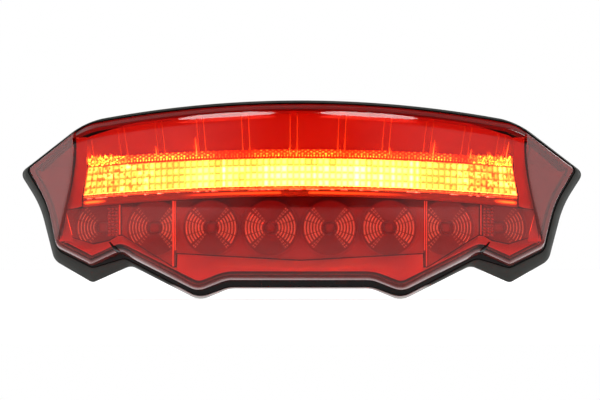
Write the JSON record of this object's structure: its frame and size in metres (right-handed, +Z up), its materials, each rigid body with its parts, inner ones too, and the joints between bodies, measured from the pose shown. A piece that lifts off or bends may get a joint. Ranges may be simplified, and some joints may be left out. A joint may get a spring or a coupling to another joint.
{
  "type": "motorcycle tail light",
  "caption": "Wide motorcycle tail light with swept wings: a red lens over a lit bar and ring optics, on a sealed housing with rear studs.",
  "frame": {"origin": "middle of the flat pad on the housing's back, on the symmetry plane", "axes": "+X to the right as seen from behind the motorcycle, +Z up, +Y into the motorcycle, so the lens faces -Y"},
  "size_m": [0.2496, 0.0699, 0.0886],
  "materials": {
    "red_lens": "polished clear red polycarbonate",
    "seal": "smooth black sealing bead",
    "housing": "fine textured dark grey moulded plastic",
    "reflector": "satin metallised plastic",
    "bar_optic": "clear pillow optic, lit",
    "circuit_board": "green solder resist",
    "led": "clear LED package",
    "tray": "dark smoked plastic",
    "mirror_optic": "bright metallised plastic",
    "steel": "zinc plated",
    "brass_pin": "bright",
    "component": "black epoxy"
  },
  "bodies": {
    "root": {"outer_lens": "red_lens", "lens_seal": "seal", "rear_housing": "housing", "vent_cap": "housing", "socket_shell": "housing", "upper_reflector": "reflector", "light_bar_ledge": "reflector", "lower_bezel": "reflector", "wing_panel_left": "reflector", "wing_panel_right": "reflector", "light_bar_lens": "bar_optic", "light_bar_board": "circuit_board", "led_board_center": "circuit_board", "led_board_left": "circuit_board", "led_board_right": "circuit_board", "led_board_foot_left": "circuit_board", "led_board_foot_right": "circuit_board", "bar_led_1": "led", "bar_led_2": "led", "bar_led_3": "led", "bar_led_4": "led", "bar_led_5": "led", "bar_led_6": "led", "brake_led_1": "led", "brake_led_2": "led", "brake_led_3": "led", "brake_led_4": "led", "brake_led_5": "led", "brake_led_6": "led", "brake_led_7": "led", "brake_led_8": "led", "lamp_tray_center": "tray", "lamp_tray_left": "tray", "lamp_tray_right": "tray", "lamp_tray_foot_left": "tray", "lamp_tray_foot_right": "tray", "ring_optic_1": "mirror_optic", "ring_optic_2": "mirror_optic", "ring_optic_3": "mirror_optic", "ring_optic_4": "mirror_optic", "ring_optic_5": "mirror_optic", "ring_optic_6": "mirror_optic", "ring_optic_7": "mirror_optic", "ring_optic_8": "mirror_optic", "divider_left_inner": "mirror_optic", "divider_left_outer": "mirror_optic", "divider_right_inner": "mirror_optic", "divider_right_outer": "mirror_optic", "board_screw_1": "steel", "board_screw_2": "steel", "board_screw_3": "steel", "board_screw_4": "steel", "mount_stud_1": "steel", "mount_stud_2": "steel", "mount_stud_3": "steel", "mount_stud_4": "steel", "pin_header": "brass_pin", "driver_chip": "component", "smoothing_capacitor": "component"}
  },
  "joints": []
}
